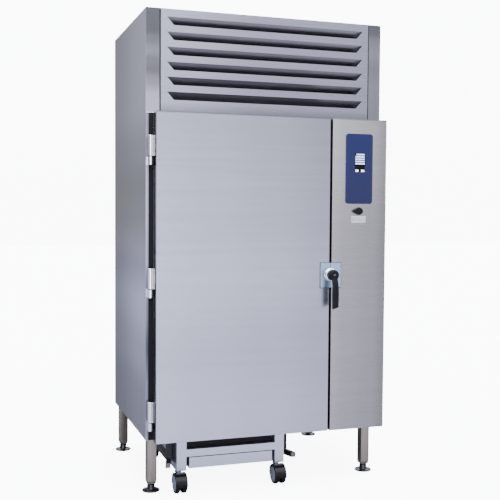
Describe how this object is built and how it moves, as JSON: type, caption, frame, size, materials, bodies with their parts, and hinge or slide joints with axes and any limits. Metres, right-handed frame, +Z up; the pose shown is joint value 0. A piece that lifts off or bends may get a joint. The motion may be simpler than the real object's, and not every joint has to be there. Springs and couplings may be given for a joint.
{
  "type": "blast chiller",
  "caption": "Roll-in blast chiller on legs: a tall steel cabinet with a hinged door, a control column, a louvred machine housing above and a docked rack trolley on casters.",
  "frame": {"origin": "on the floor, under the middle of the bounding box", "axes": "+Z up, +Y from the door towards the back, +X to the right seen from the front"},
  "size_m": [1.268, 1.05, 2.395],
  "materials": {
    "cabinet_steel": "satin",
    "column_steel": "satin",
    "foam_cored_panel": "satin",
    "liner_steel": "satin",
    "seal_rubber": "matte",
    "bright_steel": "polished",
    "handle_plastic": "satin",
    "spindle_steel": "satin",
    "panel_blue": "gloss",
    "display_glass": "gloss",
    "leg_steel": "satin",
    "foot_steel": "polished",
    "trolley_steel": "satin",
    "caster_plastic": "satin",
    "caster_tyre": "matte",
    "coil_aluminium": "matte",
    "fan_plastic": "matte",
    "compressor_paint": "satin"
  },
  "bodies": {
    "cabinet": {"left_side_panel": "cabinet_steel", "right_side_panel": "cabinet_steel", "left_stile": "column_steel", "right_stile": "column_steel", "louvre_panel": "cabinet_steel", "top_panel": "cabinet_steel", "rear_grille": "cabinet_steel", "left_wall": "foam_cored_panel", "right_wall": "foam_cored_panel", "rear_wall": "foam_cored_panel", "ceiling": "foam_cored_panel", "floor": "foam_cored_panel", "front_wall": "foam_cored_panel", "control_column": "column_steel", "control_panel": "panel_blue", "display": "display_glass", "fan_baffle": "liner_steel", "evaporator_coil": "coil_aluminium", "condenser_coil": "coil_aluminium", "compressor": "compressor_paint", "hinge_frame_leaf_1": "bright_steel", "hinge_frame_leaf_2": "bright_steel", "hinge_frame_leaf_3": "bright_steel", "latch_plate_column": "bright_steel", "leg_front_left": "leg_steel", "leg_front_right": "leg_steel", "leg_rear_left": "leg_steel", "leg_rear_right": "leg_steel", "guide_rail_left": "leg_steel", "guide_rail_right": "leg_steel", "trolley_frame": "trolley_steel", "trolley_seal_plate": "seal_rubber", "trolley_rack": "trolley_steel"},
    "door": {"door_outer_panel": "cabinet_steel", "door_inner_panel": "foam_cored_panel", "door_gasket": "seal_rubber", "hinge_door_leaf_1": "bright_steel", "hinge_door_leaf_2": "bright_steel", "hinge_door_leaf_3": "bright_steel", "latch_plate_door": "bright_steel", "latch_rose": "bright_steel"},
    "latch_lever": {"latch_handle": "handle_plastic", "latch_spindle": "spindle_steel"},
    "switch": {"switch_knob": "handle_plastic"},
    "fan_lower": {"evaporator_fan_lower": "fan_plastic"},
    "fan_upper": {"evaporator_fan_upper": "fan_plastic"},
    "fan_condenser": {"condenser_fan": "fan_plastic"},
    "drip_tray": {"trolley_drip_tray": "trolley_steel"},
    "caster_front_left": {"caster_fork_front_left": "caster_plastic"},
    "wheels_front_left": {"caster_wheels_front_left": "caster_tyre"},
    "caster_front_right": {"caster_fork_front_right": "caster_plastic"},
    "wheels_front_right": {"caster_wheels_front_right": "caster_tyre"},
    "caster_rear_left": {"caster_fork_rear_left": "caster_plastic"},
    "wheels_rear_left": {"caster_wheels_rear_left": "caster_tyre"},
    "caster_rear_right": {"caster_fork_rear_right": "caster_plastic"},
    "wheels_rear_right": {"caster_wheels_rear_right": "caster_tyre"},
    "foot_front_left": {"foot_front_left": "foot_steel"},
    "foot_front_right": {"foot_front_right": "foot_steel"},
    "foot_rear_left": {"foot_rear_left": "foot_steel"},
    "foot_rear_right": {"foot_rear_right": "foot_steel"}
  },
  "joints": [
    {"name": "door_swing", "type": "hinge", "parent": "cabinet", "child": "door", "pos_m": [-0.614, -0.405, 1.081], "axis": [0, 0, -1], "range_deg": [0, 150]},
    {"name": "latch_turn", "type": "hinge", "parent": "door", "child": "latch_lever", "pos_m": [0.318, -0.453, 1.086], "axis": [0, 1, 0], "range_deg": [0, 90]},
    {"name": "switch_turn", "type": "hinge", "parent": "cabinet", "child": "switch", "pos_m": [0.4735, -0.453, 1.414], "axis": [0, 1, 0], "range_deg": [0, 90]},
    {"name": "fan_lower_spin", "type": "hinge", "parent": "cabinet", "child": "fan_lower", "pos_m": [0.21, 0.07115, 0.72], "axis": [1, 0, 0], "continuous": true},
    {"name": "fan_upper_spin", "type": "hinge", "parent": "cabinet", "child": "fan_upper", "pos_m": [0.21, 0.07115, 1.43], "axis": [1, 0, 0], "continuous": true},
    {"name": "fan_condenser_spin", "type": "hinge", "parent": "cabinet", "child": "fan_condenser", "pos_m": [-0.2, -0.142, 2.1093], "axis": [0, 1, 0], "continuous": true},
    {"name": "drip_tray_slide", "type": "slide", "parent": "cabinet", "child": "drip_tray", "axis": [0, -1, 0], "range_m": [0, 0.3]},
    {"name": "caster_front_left_swivel", "type": "hinge", "parent": "cabinet", "child": "caster_front_left", "pos_m": [-0.4595, -0.3467, 0.1], "axis": [0, 0, 1], "continuous": true},
    {"name": "wheels_front_left_roll", "type": "hinge", "parent": "caster_front_left", "child": "wheels_front_left", "pos_m": [-0.4595, -0.3847, 0.05], "axis": [1, 0, 0], "continuous": true},
    {"name": "caster_front_right_swivel", "type": "hinge", "parent": "cabinet", "child": "caster_front_right", "pos_m": [0.0635, -0.3467, 0.1], "axis": [0, 0, 1], "continuous": true},
    {"name": "wheels_front_right_roll", "type": "hinge", "parent": "caster_front_right", "child": "wheels_front_right", "pos_m": [0.0635, -0.3847, 0.05], "axis": [1, 0, 0], "continuous": true},
    {"name": "caster_rear_left_swivel", "type": "hinge", "parent": "cabinet", "child": "caster_rear_left", "pos_m": [-0.4595, 0.3083, 0.1], "axis": [0, 0, 1], "continuous": true},
    {"name": "wheels_rear_left_roll", "type": "hinge", "parent": "caster_rear_left", "child": "wheels_rear_left", "pos_m": [-0.4595, 0.2703, 0.05], "axis": [1, 0, 0], "continuous": true},
    {"name": "caster_rear_right_swivel", "type": "hinge", "parent": "cabinet", "child": "caster_rear_right", "pos_m": [0.0635, 0.3083, 0.1], "axis": [0, 0, 1], "continuous": true},
    {"name": "wheels_rear_right_roll", "type": "hinge", "parent": "caster_rear_right", "child": "wheels_rear_right", "pos_m": [0.0635, 0.2703, 0.05], "axis": [1, 0, 0], "continuous": true},
    {"name": "foot_front_left_turn", "type": "hinge", "parent": "cabinet", "child": "foot_front_left", "pos_m": [-0.589, -0.304, 0.04], "axis": [0, 0, 1], "continuous": true},
    {"name": "foot_front_right_turn", "type": "hinge", "parent": "cabinet", "child": "foot_front_right", "pos_m": [0.589, -0.304, 0.04], "axis": [0, 0, 1], "continuous": true},
    {"name": "foot_rear_left_turn", "type": "hinge", "parent": "cabinet", "child": "foot_rear_left", "pos_m": [-0.589, 0.48, 0.04], "axis": [0, 0, 1], "continuous": true},
    {"name": "foot_rear_right_turn", "type": "hinge", "parent": "cabinet", "child": "foot_rear_right", "pos_m": [0.589, 0.48, 0.04], "axis": [0, 0, 1], "continuous": true}
  ]
}
